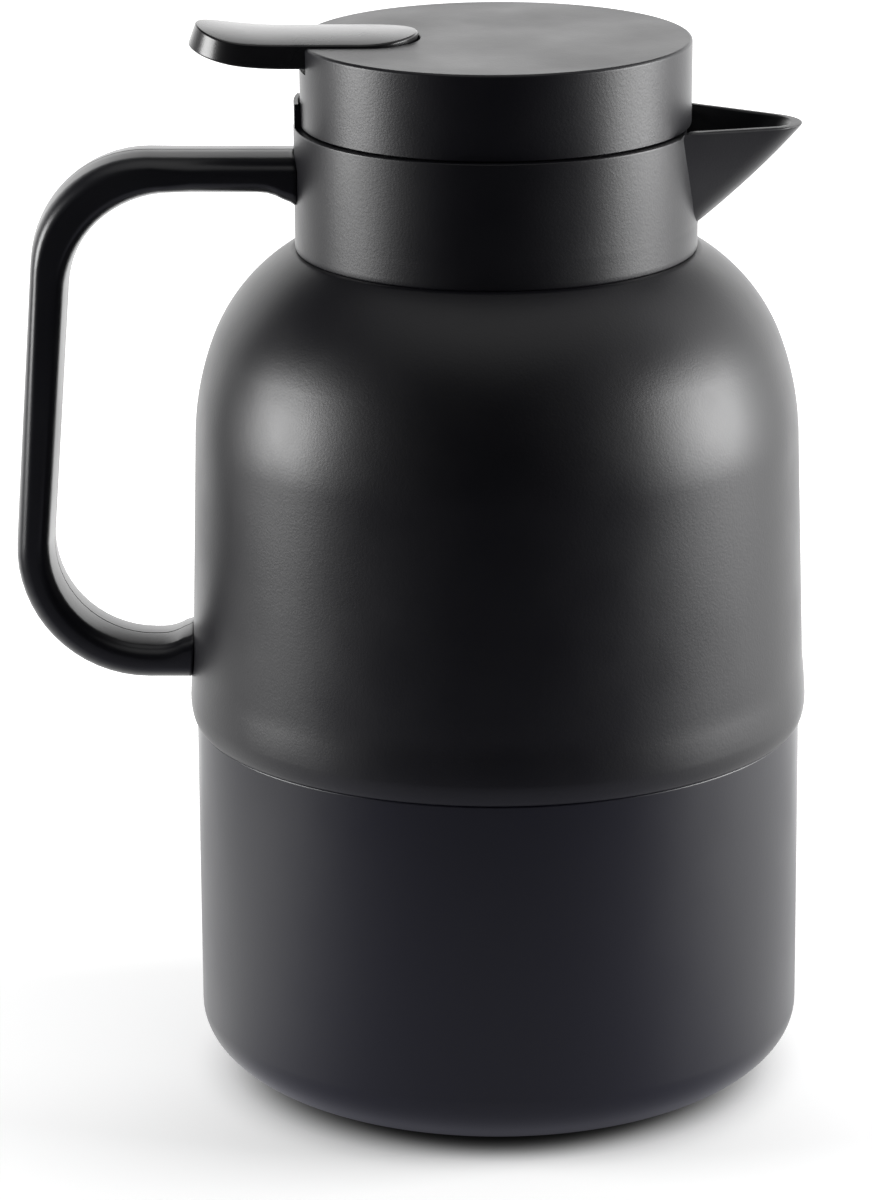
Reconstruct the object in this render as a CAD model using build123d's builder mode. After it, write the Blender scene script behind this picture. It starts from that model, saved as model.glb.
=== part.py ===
from build123d import *
from math import asin, cos, degrees, radians, sin, sqrt, tan
import os

os.makedirs("parts", exist_ok=True)

# An insulated pouring jug. It stands on the table at z = 0 with its axis on Z, the beak
# towards +X and the handle towards -X. All sizes are in millimetres.

# Casing. The upper part stands out from the cup below it and leans in towards its waist
jug_height = 258.0
seam_height = 91.5
lower_radius = 73.5
flare_out = 1.5
body_out = 0.7
wall_draft = 1.5
shell_wall = 2.5
foot_lift = 1.0
corner_run = 28.0
corner_rise = 17.0
flare_lip = 5.4
flare_height = 16.0
low_arc = 70.0
low_sweep = 20.4
top_arc = 43.5
spigot_step = 1.5
spigot_height = 7.0
spigot_wall = 2.2
spigot_play = 1.0

# Lid, collar and beak. Reaches of the beak count from the collar's outside
collar_radius = 48.0
collar_height = 30.3
collar_wall = 2.6
lid_step = 1.5
lid_skirt = 19.1
lid_wall = 2.4
lid_top_wall = 2.6
lid_line = 0.8
lid_round = 1.0
edge_round = 0.5
beak_length = 26.4
beak_half_angle = 24.5
beak_tip_radius = 9.0
beak_rise = 0.2
beak_tip_fall = 0.9
beak_wall = 1.8
beak_drop = 24.3
beak_heel_radius = 12.0
beak_keel_length = 12.0
beak_keel_drop = 14.1
beak_keel_radius = 11.3
beak_lap = 5.0
beak_mouth_lap = 4.0
tab_width = 12.0
tab_rise = 5.2
tab_root = 3.0
tab_gap = 0.4

# Neck and threads. The sleeve hangs from the collar's foot
sleeve_wall = 4.3
neck_wall = 2.6
sleeve_drop = 9.3
sleeve_rim_drop = 1.5
lip_gap = 0.7
thread_lift = 2.8
thread_height = 12.0
thread_run_out = 1.0
thread_lead = 24.0
thread_starts = 4
thread_width = 2.0
thread_tip = 1.4
thread_depth = 1.9
thread_room = 2.5
thread_root = 0.4
thread_flank = 0.2
stopper_wall = 2.4
stopper_thread_lift = 4.0
stopper_thread_height = 6.0
nut_height = 4.6
nut_notches = 6
notch_depth = 2.4
notch_width = 5.0
window_lift = 8.7
window_height = 11.0
window_width = 26.0
window_corner = 2.0

# Flask
flask_gap = 1.4
sheet = 0.6
flask_bottom = 11.5
flask_corner = 20.0
flask_shoulder_sweep = 70.0
shoulder_run = 8.0
shoulder_rise = 2.8
flask_neck = 7.4
neck_step = 3.5
vacuum_gap = 4.5
flask_floor_gap = 7.0
mouth_seat = 2.1
mouth_lip = 3.0
pump_out_radius = 1.5

# Handle. Its grip counts from the casing's radius, its ends from rim and seam
handle_width = 22.0
handle_drop = 7.0
top_thickness = 9.2
low_thickness = 9.4
handle_lift = 19.2
hand_room_top = 26.6
hand_room_low = 35.3
grip_top_thickness = 8.5
grip_low_thickness = 9.7
outer_top_bend = 28.0
outer_low_bend = 32.0
inner_top_bend = 26.5
inner_low_bend = 23.5
handle_outer_round = 3.0
handle_inner_round = 3.4
top_root_length = 6.5
top_root_drop = 4.0
low_root_length = 7.0
low_root_rise = 4.0
root_bend = 12.0
root_depth = 4.0

# Lever. Its reach counts from the lid's radius
lever_width = 27.0
lever_inner = 18.3
lever_overhang = 24.5
lever_undercut = 1.6
lever_thickness = 6.2
lever_proud = 1.1
lever_edge = 0.6
tip_rise = 2.5
tip_foot_rise = 1.0
blade_straight = 1.5
dish_place = 12.0
dish_sag = 0.1
foot_bow = 0.7
slot_gap = 0.5
pivot_inset = 6.0
pivot_rise = 1.9
pin_radius = 1.4
pin_seat = 3.0
pin_bevel = 0.3
lever_swing = 7.0
arm_back = 4.5
arm_slope = 2.0
arm_depth = 3.0
arm_lap = 1.0
fork_width = 12.0
fork_nub = 1.8
fork_gap = 0.7

# Valve
stem_radius = 2.5
stem_cap_radius = 6.0
stem_cap_height = 3.0
stem_cap_drop = 9.4
stem_cap_lap = 1.0
stem_bevel = 0.4
cap_bevel = 0.6
stem_foot_radius = 6.5
stem_foot_height = 1.8
valve_radius = 15.5
seat_bore = 12.0
seat_ring = 2.5
seat_plate = 2.5
seat_rise = 1.2
washer = 2.0
disc_thickness = 2.0
disc_hub = 2.2
disc_hub_height = 4.0
spring_radius = 8.0
spring_wire = 0.9
spring_turns = 6

# Stopper and the cover of its chamber
seal_thickness = 2.8
seal_inset = 0.2
seal_lip = 1.0
seat_ledge = 1.3
ledge_width = 1.5
cover_lift = 3.0
catch_width = 1.2
catch_height = 1.5
catch_slope = 1.0
flange_play = 0.6
flange_rise = 0.7
flange_lap = 4.0
port_inset = 2.0
cover_plate = 2.5
guide_height = 8.5
guide_wall = 2.2
ring_groove = 1.7
ring_drop = 3.5
ring_half = 1.0
ring_gap = 0.06

# Fasteners and soft parts
screw_radius = 1.5
screw_head_radius = 2.8
screw_head = 2.0
screw_length = 15.0
head_inset = 0.2
low_head_gap = 0.6
lid_screw_inset = 3.1
lid_screw_count = 4
lid_screw_length = 11.0
lid_screw_hole = 12.0
lid_head_radius = 2.5
lid_head = 1.8
boss_radius = 3.6
cheek = 3.7
pad_rim = 3.5
pad_thickness = 2.5
cushion_inset = 4.0
cushion_width = 18.0
cushion_bevel = 1.0
gasket_wall = 1.8
gasket_lap = 4.0
plug_radius = 5.0
plug_height = 1.7
plug_round = 1.2
getter_radius = 6.0
getter_height = 2.5
getter_round = 0.6
getter_inset = 13.0

# Clearances, and the length by which a cutter runs past what it cuts
fit_gap = 0.1
face_gap = 0.05
running_gap = 0.05
free_gap = 0.3
cut_past = 5.0

# Heights that follow from the sizes above
lid_foot = jug_height - lid_skirt
lid_ceiling = jug_height - lid_top_wall
rim_z = lid_foot - lid_line
collar_z = rim_z - collar_height
sleeve_foot = collar_z - sleeve_drop
sleeve_top = rim_z - sleeve_rim_drop
mouth_height = sleeve_foot - mouth_seat
thread_bottom = sleeve_foot + thread_lift
window_sill = collar_z + window_lift
handle_top = rim_z - handle_drop
handle_underside = handle_top - top_thickness
handle_low_top = seam_height + handle_lift
handle_bottom = handle_low_top - low_thickness
lever_top = jug_height + lever_proud
lever_foot = lever_top - lever_thickness
stem_cap_foot = lid_ceiling - stem_cap_drop

# Radii that follow: casing, then collar, sleeve, stopper and lid from outside to inside
flare_radius = lower_radius + flare_out
body_radius = lower_radius + body_out
waist_radius = body_radius - wall_draft
spigot_radius = lower_radius - spigot_step
lid_radius = collar_radius - lid_step
lid_inner = lid_radius - lid_wall
sleeve_outer = collar_radius - collar_wall - fit_gap
bore_radius = sleeve_outer - sleeve_wall
sleeve_low_outer = bore_radius + neck_wall
stopper_radius = bore_radius - thread_room
stopper_bore = stopper_radius - stopper_wall
lid_screw_circle = stopper_bore - lid_screw_inset
mouth_radius = stopper_radius - mouth_lip
mouth_flange = bore_radius
pad_radius = lower_radius - corner_run - pad_rim
cushion_outer = pad_radius - cushion_inset
getter_place = cushion_outer - getter_inset
pivot_x = pivot_inset - lid_radius
pivot_z = lever_foot + pivot_rise

# Dome: two tangent arcs that end at the collar
low_x = waist_radius - low_arc
top_x = low_x + (low_arc - top_arc) * cos(radians(low_sweep))
crown_radius = collar_radius + free_gap
top_z = collar_z - sqrt(top_arc**2 - (crown_radius - top_x) ** 2)
low_z = top_z - (low_arc - top_arc) * sin(radians(low_sweep))


def dome_angle(radius, height):
    """Angle, seen from the centre of the upper arc, at which an arc reaches a height."""
    return degrees(asin((height - top_z) / radius))


def casing_side(gap):
    """Outer line of the upper casing from its lip to its waist, moved out by a gap."""
    flare_top = (body_radius + gap, seam_height + flare_height)
    lean = (body_radius - waist_radius, seam_height + flare_height - low_z)
    TangentArc(flare_top, (flare_radius + gap, seam_height + flare_lip), tangent=lean)
    Line(flare_top, (waist_radius + gap, low_z))


# Lower casing: a cup with a rounded corner and a spigot for the upper casing
floor_z = pad_thickness + shell_wall
with BuildPart() as lower_shell:
    with BuildSketch(Plane.XZ):
        with BuildLine():
            Polyline(
                (0, floor_z - shell_wall),
                (pad_radius + fit_gap, floor_z - shell_wall),
                (pad_radius + fit_gap, foot_lift),
                (lower_radius - corner_run, foot_lift),
            )
            EllipticalCenterArc(
                (lower_radius - corner_run, foot_lift + corner_rise),
                corner_run,
                corner_rise,
                start_angle=270,
                arc_size=90,
            )
            Polyline(
                (lower_radius, foot_lift + corner_rise),
                (lower_radius, seam_height),
                (spigot_radius, seam_height),
                (spigot_radius, seam_height + spigot_height),
                (spigot_radius - spigot_wall, seam_height + spigot_height),
                (spigot_radius - spigot_wall, seam_height - spigot_wall),
                (lower_radius - shell_wall, seam_height - 2 * spigot_wall),
                (lower_radius - shell_wall, foot_lift + corner_rise),
            )
            EllipticalCenterArc(
                (lower_radius - corner_run, foot_lift + corner_rise),
                corner_run - shell_wall,
                corner_rise - shell_wall,
                start_angle=270,
                arc_size=90,
            )
            Polyline(
                (lower_radius - corner_run, foot_lift + shell_wall),
                (lower_radius - corner_run, floor_z),
                (0, floor_z),
                (0, floor_z - shell_wall),
            )
        make_face()
    revolve(axis=Axis.Z)
lower_shell.part.label = "lower_shell"

# Upper casing: flared lower edge, straight wall, dome and a flat ring around the neck
inner_top_arc = top_arc - shell_wall
inner_low_arc = low_arc - shell_wall
ring_underside = collar_z - shell_wall
outer_end = dome_angle(top_arc, collar_z)
inner_end = dome_angle(inner_top_arc, ring_underside)
neck_hole = sleeve_low_outer + fit_gap
handle_low_mid = (handle_low_top + handle_bottom) / 2
handle_top_mid = (handle_top + handle_underside) / 2
with BuildPart() as upper_shell:
    with BuildSketch(Plane.XZ):
        with BuildLine():
            Line((spigot_radius + fit_gap, seam_height), (lower_radius, seam_height))
            EllipticalCenterArc(
                (lower_radius, seam_height + flare_lip),
                flare_radius - lower_radius,
                flare_lip,
                start_angle=270,
                arc_size=90,
            )
            casing_side(0)
            CenterArc((low_x, low_z), low_arc, 0, low_sweep)
            CenterArc((top_x, top_z), top_arc, low_sweep, outer_end - low_sweep)
            Polyline(
                (crown_radius, collar_z),
                (neck_hole, collar_z),
                (neck_hole, ring_underside),
                (top_x + inner_top_arc * cos(radians(inner_end)), ring_underside),
            )
            CenterArc((top_x, top_z), inner_top_arc, low_sweep, inner_end - low_sweep)
            CenterArc((low_x, low_z), inner_low_arc, 0, low_sweep)
            Polyline(
                (waist_radius - shell_wall, low_z),
                (body_radius - shell_wall, seam_height + flare_height),
                (spigot_radius + fit_gap, seam_height + spigot_height + spigot_play),
                (spigot_radius + fit_gap, seam_height),
            )
        make_face()
    revolve(axis=Axis.Z)
    with BuildSketch(Plane.YZ):
        with Locations((0, handle_low_mid)):
            Circle(screw_radius + fit_gap)
    extrude(amount=-(flare_radius + cut_past), mode=Mode.SUBTRACT)
upper_shell.part.label = "upper_shell"


def beak_plan(reach, tip_radius, inset, back):
    """Plan of the beak: straight sides that meet in a round tip."""
    tip_centre = reach - tip_radius
    apex = tip_centre + (tip_radius - inset) / sin(radians(beak_half_angle))
    half_back = (apex - back) * tan(radians(beak_half_angle))
    Polygon((apex, 0), (back, half_back), (back, -half_back), align=None)
    tip = vertices().sort_by(Axis.X)[-1]
    fillet(tip, tip_radius - inset)


# Collar with the pouring beak and the tab behind the lid
beak_root_x = collar_radius - collar_wall - beak_lap
inner_beak_x = bore_radius - beak_mouth_lap
beak_reach = collar_radius + beak_length
beak_sections = (
    (rim_z - beak_drop, collar_radius + free_gap, beak_heel_radius),
    (rim_z - beak_keel_drop, collar_radius + beak_keel_length, beak_keel_radius),
    (rim_z + beak_rise, beak_reach, beak_tip_radius),
)
with BuildPart() as spout_collar:
    for height, reach, tip_radius in beak_sections:
        with BuildSketch(Plane.XY.offset(height)):
            beak_plan(reach, tip_radius, 0, beak_root_x)
    loft(ruled=True)
    with BuildSketch(Plane.XZ):
        Polygon(
            (collar_radius, rim_z + beak_rise),
            (beak_reach, rim_z - beak_tip_fall),
            (beak_reach, rim_z + tab_rise),
            (collar_radius, rim_z + tab_rise),
            align=None,
        )
    extrude(amount=collar_radius, both=True, mode=Mode.SUBTRACT)
    with BuildSketch(Plane.XY.offset(collar_z)):
        Circle(collar_radius)
    extrude(amount=collar_height)
    with BuildSketch(Plane.XY.offset(rim_z - tab_root)):
        with BuildLine():
            tab_inner = lid_radius + tab_gap
            half_tab = degrees(asin(tab_width / 2 / tab_inner))
            CenterArc((0, 0), tab_inner, 180 - half_tab, 2 * half_tab)
            CenterArc((0, 0), collar_radius, 180 - half_tab, 2 * half_tab)
            for side in (radians(180 - half_tab), radians(180 + half_tab)):
                Line(
                    (tab_inner * cos(side), tab_inner * sin(side)),
                    (collar_radius * cos(side), collar_radius * sin(side)),
                )
        make_face()
    extrude(amount=tab_root + tab_rise)
    with BuildSketch(Plane.XY.offset(collar_z)):
        Circle(collar_radius - collar_wall)
    extrude(amount=collar_height, mode=Mode.SUBTRACT)
    with BuildSketch(Plane.XY.offset(rim_z)):
        Circle(lid_radius + tab_gap)
    extrude(amount=tab_rise + beak_rise, mode=Mode.SUBTRACT)
    for height, reach, tip_radius in beak_sections:
        with BuildSketch(Plane.XY.offset(height + beak_wall)):
            beak_plan(reach, tip_radius, beak_wall, inner_beak_x)
    loft(ruled=True, mode=Mode.SUBTRACT)
    with BuildSketch(Plane.YZ):
        with Locations((0, handle_top_mid)):
            Circle(screw_radius + fit_gap)
    extrude(amount=-(collar_radius + cut_past), mode=Mode.SUBTRACT)
    foot_edge = edges().filter_by(GeomType.CIRCLE).group_by(Axis.Z)[0].sort_by(SortBy.RADIUS)[-1]
    fillet(foot_edge, edge_round)
spout_collar.part.label = "spout_collar"


def thread_ridges(root_radius, crest_radius, foot, height):
    """Several starts of a quick right-hand thread, one helical ridge for each start."""
    inward = crest_radius < root_radius
    anchor = root_radius + (thread_root if inward else -thread_root)
    ridges = []
    for start in range(thread_starts):
        turn = Rotation(0, 0, start * 360 / thread_starts)
        path = Edge.make_helix(thread_lead, height, root_radius, (0, 0, foot))
        section = Plane(
            origin=path @ 0, x_dir=(1, 0, 0), z_dir=path % 0
        ) * Polygon(
            (anchor - root_radius, -thread_width / 2 - thread_flank),
            (crest_radius - root_radius, -thread_tip / 2),
            (crest_radius - root_radius, thread_tip / 2),
            (anchor - root_radius, thread_width / 2 + thread_flank),
            align=None,
        )
        ridges.append(turn * sweep(section, path=path, is_frenet=True))
    return ridges


# Neck sleeve: threaded tube between the flask's mouth and the collar
sleeve_lip = stopper_radius + lip_gap
sleeve_ridges = thread_ridges(
    bore_radius,
    bore_radius - thread_depth,
    thread_bottom + thread_run_out,
    thread_height - 2 * thread_run_out,
)
with BuildPart() as neck_sleeve:
    with BuildSketch(Plane.XZ):
        with BuildLine():
            Polyline(
                (sleeve_lip, sleeve_foot),
                (sleeve_low_outer, sleeve_foot),
                (sleeve_low_outer, collar_z + face_gap),
                (sleeve_outer, collar_z + face_gap),
                (sleeve_outer, sleeve_top),
                (bore_radius, sleeve_top),
                (bore_radius, thread_bottom - thread_run_out),
                (sleeve_lip, thread_bottom - thread_run_out),
                close=True,
            )
        make_face()
    revolve(axis=Axis.Z)
    add(sleeve_ridges)
    with BuildSketch(Plane.YZ):
        with Locations((0, window_sill + window_height / 2)):
            RectangleRounded(window_width, window_height, window_corner)
    extrude(amount=sleeve_outer + cut_past, mode=Mode.SUBTRACT)
    with BuildSketch(Plane.YZ):
        with Locations((0, handle_top_mid)):
            Circle(screw_radius + fit_gap)
    extrude(amount=-(sleeve_outer + cut_past), mode=Mode.SUBTRACT)
    with BuildSketch(Plane.YZ.offset(-(bore_radius + screw_head + fit_gap))):
        with Locations((0, handle_top_mid)):
            Circle(screw_head_radius + fit_gap)
    extrude(amount=screw_head + fit_gap + cut_past, mode=Mode.SUBTRACT)
neck_sleeve.part.label = "neck_sleeve"

# Ring nut under the dome that clamps the sleeve
nut_inner = sleeve_low_outer + face_gap
nut_outer = top_x + inner_top_arc * cos(radians(inner_end)) - free_gap
nut_top = ring_underside - face_gap
with BuildPart() as neck_ring_nut:
    with BuildSketch(Plane.XY.offset(nut_top - nut_height)):
        Circle(nut_outer)
        Circle(nut_inner, mode=Mode.SUBTRACT)
        with PolarLocations(nut_outer, nut_notches):
            Rectangle(notch_depth, notch_width, mode=Mode.SUBTRACT)
    extrude(amount=nut_height)
neck_ring_nut.part.label = "neck_ring_nut"

# Flask: two steel walls with a vacuum between them, joined at the mouth
outer_flask_radius = waist_radius - shell_wall - flask_gap
shoulder_width = outer_flask_radius - mouth_flange - shoulder_run
flask_shoulder_radius = shoulder_width / (1 - cos(radians(flask_shoulder_sweep)))
shoulder_x = outer_flask_radius - flask_shoulder_radius
flask_neck_height = mouth_height - flask_neck
shoulder_drop = shoulder_rise + flask_shoulder_radius * sin(radians(flask_shoulder_sweep))
flask_shoulder_height = flask_neck_height - shoulder_drop
inner_flask_bottom = flask_bottom + sheet + flask_floor_gap


def flask_half(radius, bottom, corner, arc, neck, neck_base, top):
    """One side of a flask wall, from the middle of its floor to its mouth."""
    sweep_end = radians(flask_shoulder_sweep)
    foot = (shoulder_x + arc * cos(sweep_end), flask_shoulder_height + arc * sin(sweep_end))
    Line((0, bottom), (radius - corner, bottom))
    CenterArc((radius - corner, bottom + corner), corner, 270, 90)
    Line((radius, bottom + corner), (radius, flask_shoulder_height))
    CenterArc((shoulder_x, flask_shoulder_height), arc, 0, flask_shoulder_sweep)
    Polyline(foot, (neck, neck_base), (neck, top))


with BuildPart() as flask_outer_wall:
    neck_outer = mouth_flange
    with BuildSketch(Plane.XZ):
        with BuildLine():
            flask_half(
                outer_flask_radius,
                flask_bottom,
                flask_corner,
                flask_shoulder_radius,
                neck_outer,
                flask_neck_height,
                mouth_height - sheet - face_gap,
            )
            flask_half(
                outer_flask_radius - sheet,
                flask_bottom + sheet,
                flask_corner - sheet,
                flask_shoulder_radius - sheet,
                neck_outer - sheet,
                flask_neck_height - sheet,
                mouth_height - sheet - face_gap,
            )
            Line((0, flask_bottom), (0, flask_bottom + sheet))
            Line(
                (neck_outer, mouth_height - sheet - face_gap),
                (neck_outer - sheet, mouth_height - sheet - face_gap),
            )
        make_face()
    revolve(axis=Axis.Z)
    with BuildSketch(Plane.XY.offset(flask_bottom)):
        Circle(pump_out_radius)
    extrude(amount=sheet, mode=Mode.SUBTRACT)
flask_outer_wall.part.label = "flask_outer_wall"

inner_radius = outer_flask_radius - vacuum_gap
inner_corner = flask_corner - vacuum_gap
inner_arc = flask_shoulder_radius - vacuum_gap
with BuildPart() as flask_inner_wall:
    with BuildSketch(Plane.XZ):
        with BuildLine():
            flask_half(
                inner_radius,
                inner_flask_bottom,
                inner_corner,
                inner_arc,
                mouth_radius + sheet,
                flask_neck_height - neck_step,
                mouth_height - sheet,
            )
            flask_half(
                inner_radius - sheet,
                inner_flask_bottom + sheet,
                inner_corner - sheet,
                inner_arc - sheet,
                mouth_radius,
                flask_neck_height - neck_step - sheet,
                mouth_height,
            )
            Line((0, inner_flask_bottom), (0, inner_flask_bottom + sheet))
            Polyline(
                (mouth_radius + sheet, mouth_height - sheet),
                (mouth_flange, mouth_height - sheet),
                (mouth_flange, mouth_height),
                (mouth_radius, mouth_height),
            )
        make_face()
    revolve(axis=Axis.Z)
flask_inner_wall.part.label = "flask_inner_wall"

# Bead that closes the pump-out hole, and the getter inside the vacuum
with BuildPart() as vacuum_seal_plug:
    with BuildSketch(Plane.XY.offset(flask_bottom - face_gap)):
        Circle(plug_radius)
    extrude(amount=-plug_height)
    fillet(edges().group_by(Axis.Z)[0], plug_round)
vacuum_seal_plug.part.label = "vacuum_seal_plug"

with BuildPart() as getter:
    with BuildSketch(Plane.XY.offset(flask_bottom + sheet + face_gap)):
        with Locations((getter_place, 0)):
            Circle(getter_radius)
    extrude(amount=getter_height)
    fillet(edges().group_by(Axis.Z)[-1], getter_round)
getter.part.label = "getter"

# Gasket that wraps the flask's flange below the sleeve
with BuildPart() as mouth_gasket:
    with BuildSketch(Plane.XZ):
        with BuildLine():
            Polyline(
                (sleeve_lip, mouth_height + face_gap),
                (mouth_flange + face_gap, mouth_height + face_gap),
                (mouth_flange + face_gap, mouth_height - gasket_lap),
                (mouth_flange + gasket_wall, mouth_height - gasket_lap),
                (mouth_flange + gasket_wall, sleeve_foot - face_gap),
                (sleeve_lip, sleeve_foot - face_gap),
                close=True,
            )
        make_face()
    revolve(axis=Axis.Z)
mouth_gasket.part.label = "mouth_gasket"

# Cushion ring that presses the flask up, with finger grooves to let it give
with BuildPart() as base_cushion:
    with BuildSketch(Plane.XY.offset(floor_z + face_gap)):
        Circle(cushion_outer)
        Circle(cushion_outer - cushion_width, mode=Mode.SUBTRACT)
    extrude(amount=flask_bottom - floor_z - 2 * face_gap)
    chamfer(edges().filter_by(GeomType.CIRCLE), cushion_bevel)
base_cushion.part.label = "base_cushion"

# Foot pad set into the underside
with BuildPart() as foot_pad:
    with BuildSketch(Plane.XY):
        Circle(pad_radius)
    extrude(amount=pad_thickness - face_gap)
    fillet(edges().group_by(Axis.Z)[0], edge_round)
foot_pad.part.label = "foot_pad"


# Handle: one moulded loop with a soft inner side, flared where it meets collar and casing
top_root_x = collar_radius - root_depth
low_root_x = waist_radius - root_depth
root_cut = collar_radius + face_gap
grip_inner_top = body_radius + hand_room_top
grip_inner_low = body_radius + hand_room_low
handle_corners = (
    (-top_root_x, handle_top, 0),
    (-grip_inner_top - grip_top_thickness, handle_top, outer_top_bend),
    (-grip_inner_low - grip_low_thickness, handle_bottom, outer_low_bend),
    (-low_root_x, handle_bottom, 0),
    (-low_root_x, handle_low_top + low_root_rise, 0),
    (-body_radius - low_root_length, handle_low_top, root_bend),
    (-grip_inner_low, handle_low_top, inner_low_bend),
    (-grip_inner_top, handle_underside, inner_top_bend),
    (-collar_radius - top_root_length, handle_underside, root_bend),
    (-top_root_x, handle_underside - top_root_drop, 0),
)
hand_centre = Vector(-grip_inner_top, 0, (handle_underside + handle_low_top) / 2)
hand_centre += Vector((grip_inner_top - body_radius) / 2, 0, 0)
with BuildPart() as handle:
    with BuildSketch(Plane.XZ):
        Polygon(*[(x, z) for x, z, bend in handle_corners], align=None)
        for x, z, bend in handle_corners:
            if bend:
                fillet(vertices().sort_by_distance((x, z, 0))[0], bend)
    extrude(amount=handle_width / 2, both=True)
    walls = faces().filter_by(lambda f: abs(f.normal_at().Y) < 0.01)
    palm_side = [f for f in walls if f.normal_at().dot(hand_centre - f.center()) < 0]
    rims = edges().filter_by(lambda e: abs(abs(e.center().Y) - handle_width / 2) < 0.01)
    rims = rims.filter_by(lambda e: abs(e.center().X + top_root_x) > 0.1)
    rims = rims.filter_by(lambda e: abs(e.center().X + low_root_x) > 0.1)
    crisp = [e for e in rims if any(e in f.edges() for f in palm_side)]
    soft = [e for e in rims if e not in crisp]
    fillet(soft, handle_inner_round)
    fillet(crisp, handle_outer_round)
    with BuildSketch(Plane.XY.offset(collar_z)):
        Circle(root_cut)
    extrude(amount=handle_top, mode=Mode.SUBTRACT)
    with BuildSketch(Plane.XZ):
        with BuildLine():
            casing_side(face_gap)
            Polyline(
                (flare_radius + face_gap, seam_height + flare_lip),
                (flare_radius + face_gap, seam_height),
                (0, seam_height),
                (0, low_z),
                (waist_radius + face_gap, low_z),
            )
        make_face()
    revolve(axis=Axis.Z, mode=Mode.SUBTRACT)
    for height in (handle_top_mid, handle_low_mid):
        with BuildSketch(Plane.YZ):
            with Locations((0, height)):
                Circle(screw_radius + running_gap)
        extrude(amount=-(flare_radius + screw_length), mode=Mode.SUBTRACT)
handle.part.label = "handle"

# Two pan-head screws, driven from inside into the ends of the handle
top_head_x = -(bore_radius + head_inset)
low_head_x = -(body_radius - shell_wall - screw_head - low_head_gap)
with BuildPart() as handle_screws:
    for head_x, height in ((top_head_x, handle_top_mid), (low_head_x, handle_low_mid)):
        with BuildSketch(Plane.YZ.offset(head_x)):
            with Locations((0, height)):
                Circle(screw_head_radius)
        extrude(amount=-(screw_head - head_inset))
        with BuildSketch(Plane.YZ.offset(head_x)):
            with Locations((0, height)):
                Circle(screw_radius)
        extrude(amount=-screw_length)
handle_screws.part.label = "handle_screws"

# Lid cap with the slot for the lever, bearing cheeks and screw bosses
notch_z = lever_foot - (lid_radius + pivot_x) * sin(radians(lever_swing)) - free_gap
slot_half = lever_width / 2 + slot_gap
flange_top = lid_foot + flange_rise
pin_half_length = slot_half + pin_seat
with BuildPart() as lid_cap:
    with BuildSketch(Plane.XZ):
        with BuildLine():
            Polyline(
                (0, lid_ceiling),
                (lid_inner, lid_ceiling),
                (lid_inner, lid_foot),
                (lid_radius, lid_foot),
                (lid_radius, jug_height),
                (0, jug_height),
                close=True,
            )
        make_face()
    revolve(axis=Axis.Z)
    with BuildSketch(Plane.XY.offset(notch_z)):
        with Locations((pivot_x, slot_half + cheek / 2), (pivot_x, -slot_half - cheek / 2)):
            Rectangle(2 * cheek, cheek)
        Circle(lid_inner + fit_gap, mode=Mode.INTERSECT)
    extrude(amount=lid_ceiling - notch_z)
    with BuildSketch(Plane.XY.offset(flange_top + face_gap)):
        with PolarLocations(lid_screw_circle, lid_screw_count, start_angle=45):
            Circle(boss_radius)
    extrude(amount=lid_ceiling - flange_top - face_gap)
    with BuildSketch(Plane.XY.offset(flange_top)):
        with PolarLocations(lid_screw_circle, lid_screw_count, start_angle=45):
            Circle(screw_radius + running_gap)
    extrude(amount=lid_screw_hole, mode=Mode.SUBTRACT)
    with BuildSketch(Plane.XY.offset(notch_z)):
        slot_end = -lever_inner + slot_gap
        with Locations((slot_end - slot_half, 0)):
            Circle(slot_half)
        with Locations((slot_end - slot_half - lid_radius / 2, 0)):
            Rectangle(lid_radius, 2 * slot_half)
    extrude(amount=jug_height - notch_z, mode=Mode.SUBTRACT)
    with BuildSketch(Plane.XZ):
        with Locations((pivot_x, pivot_z)):
            Circle(pin_radius + face_gap)
    extrude(amount=pin_half_length + face_gap, both=True, mode=Mode.SUBTRACT)
    top_rim = edges().filter_by(GeomType.CIRCLE).group_by(Axis.Z)[-1].sort_by(SortBy.RADIUS)[-1]
    fillet(top_rim, lid_round)
lid_cap.part.label = "lid_cap"

# Pin of the lever
with BuildPart() as lever_pin:
    with BuildSketch(Plane.XZ):
        with Locations((pivot_x, pivot_z)):
            Circle(pin_radius)
    extrude(amount=pin_half_length, both=True)
    chamfer(edges(), pin_bevel)
lever_pin.part.label = "lever_pin"

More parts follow.
